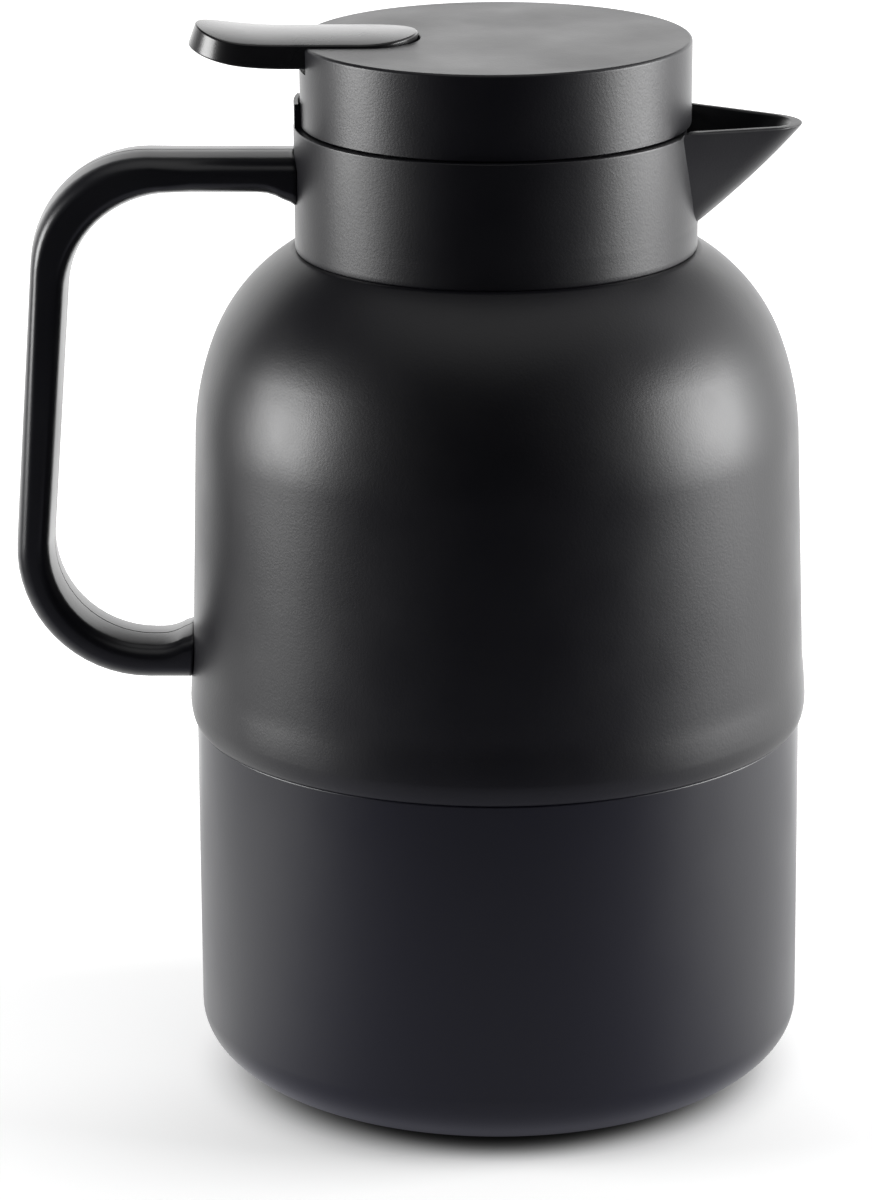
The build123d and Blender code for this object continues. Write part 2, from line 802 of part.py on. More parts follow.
# Thumb lever: dished blade outside, forked arm under the lid's ceiling
fork_z = stem_cap_foot - free_gap - fork_nub
fork_slot = stem_radius + fork_gap
lever_tip = lid_radius + lever_overhang
lever_tip_foot = lever_tip + lever_undercut
blade_bend = lid_radius + blade_straight
blade_dish = blade_bend + dish_place
with BuildPart() as thumb_lever:
    with BuildSketch(Plane.XZ):
        with BuildLine():
            tip_foot = (-lever_tip_foot, lever_foot + tip_rise + tip_foot_rise)
            tip_edge = (-lever_tip, lever_top + tip_rise)
            Line(tip_foot, tip_edge)
            ThreePointArc(tip_edge, (-blade_dish, lever_top + dish_sag), (-blade_bend, lever_top))
            Polyline((-blade_bend, lever_top), (0, lever_top), (0, lever_foot), (-blade_bend, lever_foot))
            foot_sag = (-blade_dish - lever_undercut, lever_foot + foot_bow)
            ThreePointArc((-blade_bend, lever_foot), foot_sag, tip_foot)
        make_face()
    extrude(amount=lever_width / 2, both=True)
    with BuildSketch(Plane.XY.offset(lever_foot - cut_past)):
        mid = (lever_tip_foot + lever_inner) / 2
        with Locations((-mid, 0)):
            SlotOverall(lever_tip_foot - lever_inner, lever_width)
    extrude(amount=lever_thickness + tip_rise + 2 * cut_past, mode=Mode.INTERSECT)
    fillet(edges().filter_by(lambda e: e.center().Z > lever_top - lever_edge), lever_edge)
    with BuildSketch(Plane.XZ):
        with BuildLine():
            Polyline(
                (pivot_x + arm_back, lever_foot + arm_lap),
                (pivot_x + arm_back + arm_slope, lever_foot - arm_depth),
                (-stem_cap_radius, fork_z - fork_nub),
                (0, fork_z - fork_nub),
                (0, fork_z + fork_nub),
                (-stem_cap_radius - arm_slope, fork_z + fork_nub - free_gap),
                (-lever_inner - arm_slope, lever_foot - arm_lap),
                (-lever_inner - arm_slope, lever_foot + arm_lap),
                close=True,
            )
        make_face()
        with Locations((0, fork_z)):
            Circle(fork_nub)
    extrude(amount=fork_width / 2, both=True)
    with BuildSketch(Plane.XY.offset(fork_z - cut_past)):
        with Locations((cut_past - stem_radius - 2 * fork_gap, 0)):
            Rectangle(2 * cut_past, 2 * fork_slot)
    extrude(amount=2 * cut_past, mode=Mode.SUBTRACT)
    with BuildSketch(Plane.XZ):
        with Locations((pivot_x, pivot_z)):
            Circle(pin_radius + running_gap)
    extrude(amount=lever_width, both=True, mode=Mode.SUBTRACT)
thumb_lever.part.label = "thumb_lever"

# Stopper: threaded cup with a pouring window and a flange under the lid
stopper_foot = mouth_height + seal_thickness
flange_foot = sleeve_top + flange_play
flange_radius = lid_inner - free_gap
flange_inner = lid_screw_circle - flange_lap
seat_foot = stopper_foot + seat_ledge
cover_foot = window_sill + window_height + cover_lift
stopper_ridges = thread_ridges(
    stopper_radius,
    stopper_radius + thread_depth,
    thread_bottom + stopper_thread_lift,
    stopper_thread_height,
)
with BuildPart() as stopper_body:
    with BuildSketch(Plane.XZ):
        with BuildLine():
            Polyline(
                (stopper_bore - ledge_width, stopper_foot),
                (stopper_radius, stopper_foot),
                (stopper_radius, flange_foot),
                (flange_radius, flange_foot),
                (flange_radius, flange_top),
                (flange_inner, flange_top),
                (flange_inner, flange_foot),
                (stopper_bore, flange_foot),
                (stopper_bore, cover_foot),
                (stopper_bore - catch_width, cover_foot),
                (stopper_bore - catch_width, cover_foot - catch_height),
                (stopper_bore, cover_foot - catch_height - catch_slope),
                (stopper_bore, seat_foot),
                (stopper_bore - ledge_width, seat_foot),
                close=True,
            )
        make_face()
    revolve(axis=Axis.Z)
    add(stopper_ridges)
    with BuildSketch(Plane.YZ):
        with Locations((0, window_sill + (window_height - port_inset) / 2)):
            RectangleRounded(window_width - 2 * port_inset, window_height - port_inset, window_corner)
    extrude(amount=stopper_radius + cut_past, mode=Mode.SUBTRACT)
    with BuildSketch(Plane.XY.offset(flange_foot)):
        with PolarLocations(lid_screw_circle, lid_screw_count, start_angle=45):
            Circle(screw_radius + fit_gap)
    extrude(amount=flange_top - flange_foot, mode=Mode.SUBTRACT)
stopper_body.part.label = "stopper_body"

# Screws from the stopper's flange up into the lid
with BuildPart() as lid_screws:
    with BuildSketch(Plane.XY.offset(flange_foot - face_gap)):
        with PolarLocations(lid_screw_circle, lid_screw_count, start_angle=45):
            Circle(lid_head_radius)
    extrude(amount=-lid_head)
    with BuildSketch(Plane.XY.offset(flange_foot - face_gap)):
        with PolarLocations(lid_screw_circle, lid_screw_count, start_angle=45):
            Circle(screw_radius)
    extrude(amount=lid_screw_length)
lid_screws.part.label = "lid_screws"

# Seal that is pressed between the stopper and the flask's mouth
with BuildPart() as stopper_gasket:
    with BuildSketch(Plane.XZ):
        with BuildLine():
            Polyline(
                (mouth_radius + free_gap, mouth_height + fit_gap),
                (stopper_radius - seal_inset, mouth_height + fit_gap),
                (stopper_radius - seal_inset, stopper_foot - fit_gap),
                (mouth_radius - seal_lip, stopper_foot - fit_gap),
                close=True,
            )
        make_face()
    revolve(axis=Axis.Z)
stopper_gasket.part.label = "stopper_gasket"

# Valve seat in the stopper's floor
seat_top = seat_foot + seat_plate + seat_rise
with BuildPart() as valve_seat:
    with BuildSketch(Plane.XZ):
        with BuildLine():
            Polyline(
                (seat_bore, seat_foot + face_gap),
                (stopper_bore - face_gap, seat_foot + face_gap),
                (stopper_bore - face_gap, seat_foot + seat_plate),
                (seat_bore + seat_ring, seat_foot + seat_plate),
                (seat_bore + seat_ring, seat_top),
                (seat_bore, seat_top),
                close=True,
            )
        make_face()
    revolve(axis=Axis.Z)
valve_seat.part.label = "valve_seat"

# Cover of the pouring chamber with the guide of the stem
guide_top = cover_foot + guide_height
seal_groove = stem_radius + ring_groove
guide_radius = seal_groove + guide_wall
seal_z = guide_top - ring_drop
with BuildPart() as chamber_cover:
    with BuildSketch(Plane.XZ):
        with BuildLine():
            Polyline(
                (stem_radius + running_gap, cover_foot + face_gap),
                (stopper_bore - face_gap, cover_foot + face_gap),
                (stopper_bore - face_gap, cover_foot + cover_plate),
                (guide_radius, cover_foot + cover_plate),
                (guide_radius, guide_top),
                (stem_radius + running_gap, guide_top),
                (stem_radius + running_gap, seal_z + ring_half),
                (seal_groove, seal_z + ring_half),
                (seal_groove, seal_z - ring_half),
                (stem_radius + running_gap, seal_z - ring_half),
                close=True,
            )
        make_face()
    revolve(axis=Axis.Z)
chamber_cover.part.label = "chamber_cover"

# O-ring on the stem
ring_wire = (seal_groove - stem_radius) / 2 - ring_gap
with BuildPart() as stem_seal:
    with BuildSketch(Plane.XZ):
        with Locations(((seal_groove + stem_radius) / 2, seal_z)):
            Circle(ring_wire)
    revolve(axis=Axis.Z)
stem_seal.part.label = "stem_seal"

# Valve: stem with a foot, washer, disc and cap
washer_foot = seat_top + fit_gap
disc_foot = washer_foot + washer + face_gap
with BuildPart() as valve_stem:
    with BuildSketch(Plane.XY.offset(washer_foot - face_gap - stem_foot_height)):
        Circle(stem_foot_radius)
    extrude(amount=stem_foot_height)
    with BuildSketch(Plane.XY.offset(washer_foot - face_gap)):
        Circle(stem_radius)
    extrude(amount=stem_cap_foot + stem_cap_height - stem_cap_lap - washer_foot)
    chamfer(edges().group_by(Axis.Z)[-1], stem_bevel)
valve_stem.part.label = "valve_stem"

with BuildPart() as valve_gasket:
    with BuildSketch(Plane.XY.offset(washer_foot)):
        Circle(valve_radius)
        Circle(stem_radius + face_gap, mode=Mode.SUBTRACT)
    extrude(amount=washer)
valve_gasket.part.label = "valve_gasket"

with BuildPart() as valve_disc:
    with BuildSketch(Plane.XY.offset(disc_foot)):
        Circle(valve_radius)
    extrude(amount=disc_thickness)
    with BuildSketch(Plane.XY.offset(disc_foot)):
        Circle(stem_radius + disc_hub)
    extrude(amount=disc_thickness + disc_hub_height)
    with BuildSketch(Plane.XY.offset(disc_foot)):
        Circle(stem_radius + face_gap)
    extrude(amount=disc_thickness + disc_hub_height, mode=Mode.SUBTRACT)
valve_disc.part.label = "valve_disc"

with BuildPart() as stem_cap:
    with BuildSketch(Plane.XY.offset(stem_cap_foot)):
        Circle(stem_cap_radius)
        Circle(stem_radius + face_gap, mode=Mode.SUBTRACT)
    extrude(amount=stem_cap_height)
    chamfer(edges().group_by(Axis.Z)[-1].sort_by(SortBy.RADIUS)[-1], cap_bevel)
stem_cap.part.label = "stem_cap"

# Coil spring between the valve disc and the cover of the chamber
spring_foot = disc_foot + disc_thickness + fit_gap + spring_wire
spring_head = cover_foot - fit_gap - spring_wire
with BuildPart() as return_spring:
    with BuildLine() as coil:
        spring_length = spring_head - spring_foot
        Helix(spring_length / spring_turns, spring_length, spring_radius, (0, 0, spring_foot))
    with BuildSketch(Plane(origin=coil.line @ 0, z_dir=coil.line % 0)):
        Circle(spring_wire)
    sweep(path=coil.line, is_frenet=True)
return_spring.part.label = "return_spring"

pieces = [
    lower_shell,
    upper_shell,
    spout_collar,
    neck_sleeve,
    neck_ring_nut,
    flask_outer_wall,
    flask_inner_wall,
    vacuum_seal_plug,
    getter,
    mouth_gasket,
    base_cushion,
    foot_pad,
    handle,
    handle_screws,
    lid_cap,
    lever_pin,
    thumb_lever,
    stopper_body,
    lid_screws,
    stopper_gasket,
    valve_seat,
    chamber_cover,
    stem_seal,
    valve_stem,
    valve_gasket,
    valve_disc,
    stem_cap,
    return_spring,
]
for piece in pieces:
    export_step(piece.part, f"parts/{piece.part.label}.step")
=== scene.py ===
# %% [markdown]
# # A black insulated jug
# The real jug holds a steel vacuum flask in a two-piece moulded casing. A collar with a
# pouring beak sits on the casing's neck, a loop handle joins collar and casing, and a
# screw-in lid carries a thumb lever that opens a valve. This lesson dresses the
# engineering model of that jug: the shapes that show are modelled again with rounded
# edges and flowing lines, and each one gets the plastic that the real one is made of.

# %% Load the engineering model
from math import asin, atan2, cos, degrees, pi, radians, sin, sqrt, tan, tau

import bmesh
import bpy
from mathutils import Matrix, Vector


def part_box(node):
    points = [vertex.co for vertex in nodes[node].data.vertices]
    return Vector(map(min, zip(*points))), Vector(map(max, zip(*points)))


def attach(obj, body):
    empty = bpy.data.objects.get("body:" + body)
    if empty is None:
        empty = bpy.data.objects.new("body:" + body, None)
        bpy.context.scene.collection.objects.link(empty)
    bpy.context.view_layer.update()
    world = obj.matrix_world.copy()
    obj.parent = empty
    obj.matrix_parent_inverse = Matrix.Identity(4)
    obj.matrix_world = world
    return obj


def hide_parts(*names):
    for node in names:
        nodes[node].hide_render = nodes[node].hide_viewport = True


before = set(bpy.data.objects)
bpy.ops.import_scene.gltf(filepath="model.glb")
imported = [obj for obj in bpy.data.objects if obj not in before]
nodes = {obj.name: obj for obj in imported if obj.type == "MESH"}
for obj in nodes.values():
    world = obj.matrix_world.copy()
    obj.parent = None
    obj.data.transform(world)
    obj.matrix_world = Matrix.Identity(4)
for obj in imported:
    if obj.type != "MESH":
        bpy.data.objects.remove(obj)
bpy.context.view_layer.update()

# %% [markdown]
# Outlines are easiest to read in millimetres, as a designer would note them, while
# Blender works in metres. One factor turns the first into the second. The heights that
# the pieces share are measured on the engineering model, so nothing is fitted by eye.

# %% Sizes taken from the engineering model
MM = 0.001


def reach(node):
    """Lowest and highest corner of a node in millimetres."""
    low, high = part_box(node)
    return low / MM, high / MM


cup_low, cup_high = reach("lower_shell")
casing_low, casing_high = reach("upper_shell")
collar_low, collar_high = reach("spout_collar")
lid_low, lid_high = reach("lid_cap")
lever_low, lever_high = reach("thumb_lever")
pad_low, pad_high = reach("foot_pad")
seal_low, seal_high = reach("stopper_gasket")
seam = casing_low.z
cup_radius = cup_high.x
lip_radius = casing_high.y
collar_radius = collar_high.y
collar_foot = collar_low.z
lid_radius = lid_high.x
lid_foot = lid_low.z
lid_top = lid_high.z
print("seam", round(seam, 2), "collar", round(collar_radius, 2), "lid", round(lid_radius, 2))

# %% [markdown]
# Moulded plastic has no truly sharp edge: every corner of the tool leaves a small
# round, and that round is what catches the light. This helper walks along an outline
# and swaps each corner that has a radius for a short arc.

# %% Helper: an outline with rounded corners


def soften(corners, steps=4):
    """Points of an outline whose corners are (x, z) or (x, z, radius)."""
    points = []
    for index, (x, z, *radius) in enumerate(corners):
        here = Vector((x, z))
        if not radius:
            points.append(here)
            continue
        before = (Vector(corners[index - 1][:2]) - here).normalized()
        after = (Vector(corners[(index + 1) % len(corners)][:2]) - here).normalized()
        half = before.angle(after) / 2
        centre = here + (before + after).normalized() * radius[0] / sin(half)
        start = here + before * radius[0] / tan(half) - centre
        end = here + after * radius[0] / tan(half) - centre
        points += [
            centre + radius[0] * start.slerp(end, step / steps) for step in range(steps + 1)
        ]
    return points


def arc(centre_x, centre_z, radius, start, end, steps=12, rise=None):
    """Points on an arc, or on an ellipse if its rise differs from its radius."""
    rise = radius if rise is None else rise
    turns = [radians(start + (end - start) * step / steps) for step in range(steps + 1)]
    return [Vector((centre_x + radius * cos(t), centre_z + rise * sin(t))) for t in turns]


print("a rounded square has", len(soften([(0, 0, 1), (9, 0, 1), (9, 9, 1), (0, 9, 1)])), "points")

# %% [markdown]
# Most pieces of a jug are bodies of revolution, so a spin makes them in one stroke. The
# outline is closed, so the result is a real wall with an inner and an outer side. Each
# finished mesh is merged, gets outward faces and rides on the body that carries it. The
# weighted-normal modifier keeps large faces calm beside small rounds.

# %% Helpers: spin an outline and finish a piece
SPIN_STEPS = 160
WELD = 0.002 * MM


def spun(outline, closed=True, steps=SPIN_STEPS):
    """A bmesh made by turning an outline of (radius, height) once round the axis."""
    shape = bmesh.new()
    line = [shape.verts.new((x * MM, 0, z * MM)) for x, z in outline]
    pairs = zip(line, line[1:] + line[:1]) if closed else zip(line, line[1:])
    edges = [shape.edges.new(pair) for pair in pairs]
    bmesh.ops.spin(
        shape, geom=line + edges, axis=(0, 0, 1), cent=(0, 0, 0), angle=tau,
        steps=steps, use_merge=True, use_duplicate=False,
    )
    return shape


def placed(name, data):
    """A new object in the scene for a mesh, a lamp or a camera."""
    made = bpy.data.objects.new(name, data)
    bpy.context.scene.collection.objects.link(made)
    return made


def as_mesh(name, shape):
    """Turn a bmesh into a mesh and free it."""
    mesh = bpy.data.meshes.new(name)
    shape.to_mesh(mesh)
    shape.free()
    return mesh


def piece(name, shape, body, material, stands_for, sharp=40):
    """Turn a bmesh into an object that rides on a body and stands for CAD nodes."""
    bmesh.ops.remove_doubles(shape, verts=shape.verts, dist=WELD)
    bmesh.ops.recalc_face_normals(shape, faces=shape.faces)
    mesh = as_mesh(name, shape)
    mesh.shade_smooth()
    mesh.set_sharp_from_angle(angle=radians(sharp))
    mesh.materials.append(material)
    made = placed(name, mesh)
    weighted = made.modifiers.new("calm faces", "WEIGHTED_NORMAL")
    weighted.keep_sharp = True
    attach(made, body)
    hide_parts(*stands_for)
    print(name, len(mesh.vertices), "vertices")


# %% [markdown]
# ## Finishes
# Everything that shows is black polypropylene, but not one black. The casing and the
# collar come from tools with a fine spark-eroded grain, which spreads a highlight into
# a soft band. The lower cup is smoother and cooler in tone, and the lever, which the
# thumb polishes, is nearly glossy. A small function adds one node with its settings.

# %% Helpers for materials


def linear(hex_colour):
    """Linear colour of an sRGB hex value."""
    channels = [int(hex_colour[k : k + 2], 16) / 255 for k in (1, 3, 5)]
    return (*[c / 12.92 if c <= 0.04045 else ((c + 0.055) / 1.055) ** 2.4 for c in channels], 1)


def add_node(tree, kind, inputs=None, **settings):
    """Add one shader node, set its properties and feed its sockets."""
    node = tree.nodes.new(kind)
    for key, value in settings.items():
        setattr(node, key, value)
    for key, value in (inputs or {}).items():
        if isinstance(value, bpy.types.NodeSocket):
            tree.links.new(value, node.inputs[key])
        else:
            node.inputs[key].default_value = value
    return node


def blank(name):
    """A new material with its node tree and its principled shader."""
    made = bpy.data.materials.new(name)
    made.use_nodes = True
    return made, made.node_tree, made.node_tree.nodes["Principled BSDF"]


# %% [markdown]
# The grain of a spark-eroded tool is a field of tiny craters, 0.1 to 0.2 mm wide. That
# is too fine to show at this distance, so it is drawn at 0.5 mm with little height. A
# second, slow pattern varies the roughness by a few hundredths, as hands and dust do.

# %% Material maker for moulded polypropylene
GRAIN = 0.5 * MM
SMUDGE = 22 * MM
PLASTIC_IOR, SILICONE_IOR = 1.49, 1.42


def moulded(name, colour, roughness, spread, grain_height, bloom="#000000"):
    """Black polypropylene from a tool with a given polish and grain."""
    made, tree, shader = blank(name)
    place = add_node(tree, "ShaderNodeTexCoord").outputs["Object"]
    slow = add_node(
        tree, "ShaderNodeTexNoise", {"Vector": place, "Scale": 1 / SMUDGE, "Detail": 3.0}
    )
    gloss = add_node(
        tree, "ShaderNodeMapRange",
        {"Value": slow.outputs["Fac"], "From Min": 0.3, "From Max": 0.7,
         "To Min": roughness - spread, "To Max": roughness + spread},
    )
    grain = add_node(
        tree, "ShaderNodeTexVoronoi", {"Vector": place, "Scale": 1 / GRAIN}, feature="SMOOTH_F1"
    )
    fine = add_node(
        tree, "ShaderNodeTexNoise", {"Vector": place, "Scale": 0.4 / GRAIN, "Detail": 4.0}
    )
    height = add_node(
        tree, "ShaderNodeMath",
        {0: grain.outputs["Distance"], 1: fine.outputs["Fac"]}, operation="ADD",
    )
    bump = add_node(
        tree, "ShaderNodeBump",
        {"Height": height.outputs["Value"], "Strength": 1.0, "Distance": grain_height * MM},
    )
    tone = add_node(
        tree, "ShaderNodeMix",
        {"Factor": fine.outputs["Fac"], "A": linear(colour), "B": linear(bloom)},
        data_type="RGBA",
    )
    tree.links.new(tone.outputs["Result"], shader.inputs["Base Color"])
    tree.links.new(gloss.outputs["Result"], shader.inputs["Roughness"])
    tree.links.new(bump.outputs["Normal"], shader.inputs["Normal"])
    shader.inputs["IOR"].default_value = PLASTIC_IOR
    return made


casing_black = moulded("satin polypropylene casing", "#030309", 0.40, 0.03, 0.014, "#06050b")
cup_black = moulded("smooth polypropylene cup", "#070713", 0.36, 0.02, 0.006, "#0a0a16")
lid_black = moulded("satin polypropylene lid", "#03030a", 0.38, 0.03, 0.015, "#08070d")
handle_black = moulded(
    "semi-gloss polypropylene handle", "#0b0b10", 0.32, 0.03, 0.006, "#0e0e13"
)
lever_black = moulded("polished ABS lever", "#0c0c0e", 0.26, 0.02, 0.003, "#0f0f11")
inner_black = moulded(
    "smooth polypropylene inner part", "#131316", 0.34, 0.02, 0.006, "#161619"
)

# %% [markdown]
# The flask is drawn from stainless sheet, so fine lines run round it. The seals are
# grey silicone, which is matte and takes up dust. The sealing bead under the flask is
# the only glassy part, and it never shows.

# %% Steel, silicone and the sealing bead
DRAW_LINES = 0.8 * MM
DUST = 3 * MM


def drawn_steel():
    """Stainless sheet with the fine rings that drawing and polishing leave."""
    made, tree, shader = blank("drawn stainless steel")
    place = add_node(tree, "ShaderNodeTexCoord").outputs["Object"]
    stretched = add_node(
        tree, "ShaderNodeMapping", {"Vector": place, "Scale": (0.02, 0.02, 1.0)}
    )
    lines = add_node(
        tree, "ShaderNodeTexNoise",
        {"Vector": stretched.outputs["Vector"], "Scale": 1 / DRAW_LINES, "Detail": 2.0},
    )
    gloss = add_node(
        tree, "ShaderNodeMapRange",
        {"Value": lines.outputs["Fac"], "To Min": 0.22, "To Max": 0.38},
    )
    bump = add_node(
        tree, "ShaderNodeBump", {"Height": lines.outputs["Fac"], "Distance": 0.01 * MM}
    )
    shader.inputs["Base Color"].default_value = linear("#c6c4c0")
    shader.inputs["Metallic"].default_value = 1.0
    tree.links.new(gloss.outputs["Result"], shader.inputs["Roughness"])
    tree.links.new(bump.outputs["Normal"], shader.inputs["Normal"])
    return made


def silicone(name, colour):
    """Matte silicone rubber with a faint dusty bloom."""
    made, tree, shader = blank(name)
    place = add_node(tree, "ShaderNodeTexCoord").outputs["Object"]
    dust = add_node(
        tree, "ShaderNodeTexNoise", {"Vector": place, "Scale": 1 / DUST, "Detail": 5.0}
    )
    tone = add_node(
        tree, "ShaderNodeMix",
        {"Factor": dust.outputs["Fac"], "A": linear(colour), "B": linear("#8f8e8c")},
        data_type="RGBA",
    )
    bump = add_node(
        tree, "ShaderNodeBump", {"Height": dust.outputs["Fac"], "Distance": 0.02 * MM}
    )
    tree.links.new(tone.outputs["Result"], shader.inputs["Base Color"])
    tree.links.new(bump.outputs["Normal"], shader.inputs["Normal"])
    shader.inputs["Roughness"].default_value = 0.62
    shader.inputs["IOR"].default_value = SILICONE_IOR
    return made


steel = drawn_steel()
seal_grey = silicone("grey silicone seal", "#6f6e6d")
pad_grey = silicone("dark silicone pad", "#3a3a3b")
bead = moulded("sealing bead", "#5d6161", 0.35, 0.02, 0.004, "#666a6a")

# %% [markdown]
# ## The lower cup
# The cup is one wall from the recess of the foot pad up to the spigot that the upper
# casing slides over. Its lower corner is a flat ellipse, wider than it is high, which
# lets the jug seem to float a little. A spin of the closed outline gives both sides.

# %% Lower cup
SHELL = 2.5
corner_run, corner_rise = 28.0, 17.0
recess_play, roof_play, recess_edge = 0.1, 0.05, 0.4
recess, pad_roof = pad_high.x + recess_play, pad_high.z + roof_play
straight_start, shadow_gap, seam_round = 40.0, 0.05, 0.45
spigot_step, spigot_wall, spigot_round = 1.5, 2.2, 0.5
spigot_root, wall_root = seam - 2.0, seam - 4.4
spigot = cup_radius - spigot_step
spigot_inner = spigot - spigot_wall
cup_foot = cup_low.z
corner_x, corner_z = cup_radius - corner_run, cup_foot + corner_rise
cup_outline = (
    [Vector((0, pad_roof)), Vector((recess, pad_roof)), Vector((recess, cup_foot + recess_edge)),
     Vector((recess + recess_edge, cup_foot))]
    + arc(corner_x, corner_z, corner_run, 270, 360, 28, corner_rise)
    + soften([(cup_radius, straight_start), (cup_radius, seam - shadow_gap, seam_round),
              (spigot, seam - shadow_gap)])[1:]
    + soften([(spigot, seam), (spigot, cup_high.z, spigot_round),
              (spigot_inner, cup_high.z, spigot_round), (spigot_inner, spigot_root),
              (cup_radius - SHELL, wall_root)])
    + arc(corner_x, corner_z, corner_run - SHELL, 360, 270, 20, corner_rise - SHELL)
    + [Vector((corner_x, pad_roof + SHELL)), Vector((0, pad_roof + SHELL))]
)
cup_shape = spun(cup_outline, closed=False)
piece("jug_cup", cup_shape, "jug", cup_black, ["lower_shell"])

# %% [markdown]
# ## The upper casing
# At the seam the casing flares out and curls under, so a shadow line hides the joint.
# Above it the wall leans in by one degree for the mould, then two tangent arcs of
# different radius make the dome. The ring at the top is where the neck passes through.

# %% Upper casing
lip_rise = 5.4
lip_lean = ((0.13, 2.8), (0.42, 6.4))
straight_foot = seam + 16.0
body_radius, waist_radius = 74.2, 72.7
low_arc, low_sweep, top_arc = 70.0, 20.4, 43.5
crown_lap = 0.3
low_x = waist_radius - low_arc
top_x = low_x + (low_arc - top_arc) * cos(radians(low_sweep))
top_z = collar_foot - sqrt(top_arc**2 - (collar_radius + crown_lap - top_x) ** 2)
low_z = top_z - (low_arc - top_arc) * sin(radians(low_sweep))


def dome_end(radius, height):
    """Angle at which an arc about the upper centre reaches a height, in degrees."""
    return degrees(asin((height - top_z) / radius))


neck_hole = 43.7
ring_foot = collar_foot - SHELL
slide, lead, spigot_lap = 0.1, 0.3, 8.0
lip_curl = arc(cup_radius, seam + lip_rise, lip_radius - cup_radius, 270, 360, 8, lip_rise)
lip_top = [Vector((lip_radius - into, seam + lip_rise + up)) for into, up in lip_lean]
outside = (
    arc(low_x, low_z, low_arc, 0, low_sweep, 10)
    + arc(top_x, top_z, top_arc, low_sweep, dome_end(top_arc, collar_foot), 30)[1:]
)
inside = (
    arc(top_x, top_z, top_arc - SHELL, dome_end(top_arc - SHELL, ring_foot), low_sweep, 16)
    + arc(low_x, low_z, low_arc - SHELL, low_sweep, 0, 6)[1:]
)
casing_outline = (
    [Vector((spigot + slide, seam + lead)), Vector((spigot + slide + lead, seam))]
    + lip_curl + lip_top + [Vector((body_radius, straight_foot))] + outside
    + [Vector((neck_hole, collar_foot)), Vector((neck_hole, ring_foot))] + inside
    + [Vector((body_radius - SHELL, straight_foot)), Vector((spigot + slide, seam + spigot_lap))]
)
piece("jug_casing", spun(casing_outline), "jug", casing_black, ["upper_shell"])

# %% [markdown]
# ## Collar and beak
# The collar is a ring, and the beak grows out of it: two flat cheeks that meet in a
# round nose, open at the top. Seen from the axis, each point of the beak lies in its
# own direction, so ring and beak are one spun grid whose points are pulled outwards.
# The columns beside the beak follow the line where cheek and ring meet, which keeps
# that line crisp.

# %% Shape of the beak
cheek_angle = radians(24.5)
beak_side, widest_parting = radians(60), radians(40)
heel = 213.9
skirt_drop, rim_gap = 1.0, 0.3
skirt_foot = lid_foot - skirt_drop
rim = skirt_foot - rim_gap
ring_wall, beak_wall = 2.6, 1.8
rim_lift, rim_fall = 1.15, 1.1
keel_bow, keel_past = 4.29, 0.4
nose_radius, nose_taper = 12.0, 3.0
beak_tip = collar_high.x


def nose(height):
    """Reach of the keel and radius of the nose at a height."""
    share = max(height - heel, 0.0) / (rim + rim_lift - heel)
    keel = collar_radius + (beak_tip + keel_past - collar_radius) * share
    return keel + keel_bow * share * (1 - share), nose_radius - nose_taper * share**2


def beak_line(angle, height, inset):
    """Distance from the axis to the beak's outline in one direction."""
    if abs(angle) > beak_side:
        return 0.0
    keel, tip = nose(height)
    middle = keel - tip
    tip -= inset
    turn = atan2(tip * cos(cheek_angle), middle + tip * sin(cheek_angle))
    if abs(angle) < turn:
        return middle * cos(angle) + sqrt(max(tip**2 - (middle * sin(angle)) ** 2, 0))
    apex = middle + tip / sin(cheek_angle)
    return apex * sin(cheek_angle) / sin(abs(angle) + cheek_angle)


def parting(radius, height, inset):
    """Angle at which the beak's outline leaves a circle about the axis."""
    low, high = 0.0, widest_parting
    if beak_line(0.0, height, inset) <= radius:
        return 0.0
    for _ in range(30):
        middle = (low + high) / 2
        low, high = (middle, high) if beak_line(middle, height, inset) > radius else (low, middle)
    return low


print("beak at the rim: half angle", round(degrees(parting(collar_radius, rim, 0)), 1))

# %% [markdown]
# The grid has one column for each direction and one row for each step along the wall's
# outline: up the outside, over the rim and down the inside. A spin makes it, and then
# each point is moved to its own place.

# %% Collar with its beak
BEAK_COLUMNS = 44
RING_COLUMNS = 116
ROW_MARK = 0.001
HAIR = 1e-7
least_spread = radians(1.2)
edge, foot_round = 0.25, 0.5
outer_pitch, inner_pitch, inner_start = 0.96, 1.45, 1.0
rim_zone, tip_swell, swell_run = 1.2, 1.3, 4.0
outer_rows = [(foot_round, 0.0), (0.3 * foot_round, 0.3 * foot_round)]
outer_rows += [(0.0, foot_round + outer_pitch * row) for row in range(31)]
rim_rows = [(0.0, -edge), (0.13 * edge, -0.5 * edge), (0.5 * edge, -0.13 * edge), (edge, 0.0)]


def wall_point(angle, height, inset, inner):
    """Radius of the outer or inner side of the collar in one direction."""
    if inner:
        ring = collar_radius - ring_wall + inset
        return max(ring, beak_line(angle, height - beak_wall, beak_wall - inset))
    return max(collar_radius - inset, beak_line(angle, height, inset))


def rim_height(radius):
    """The rim falls a little towards the beak's tip."""
    past = max(radius - collar_radius, 0.0) / (beak_tip - collar_radius)
    return rim + (rim_lift - rim_fall * past if past > 0 else 0.0)


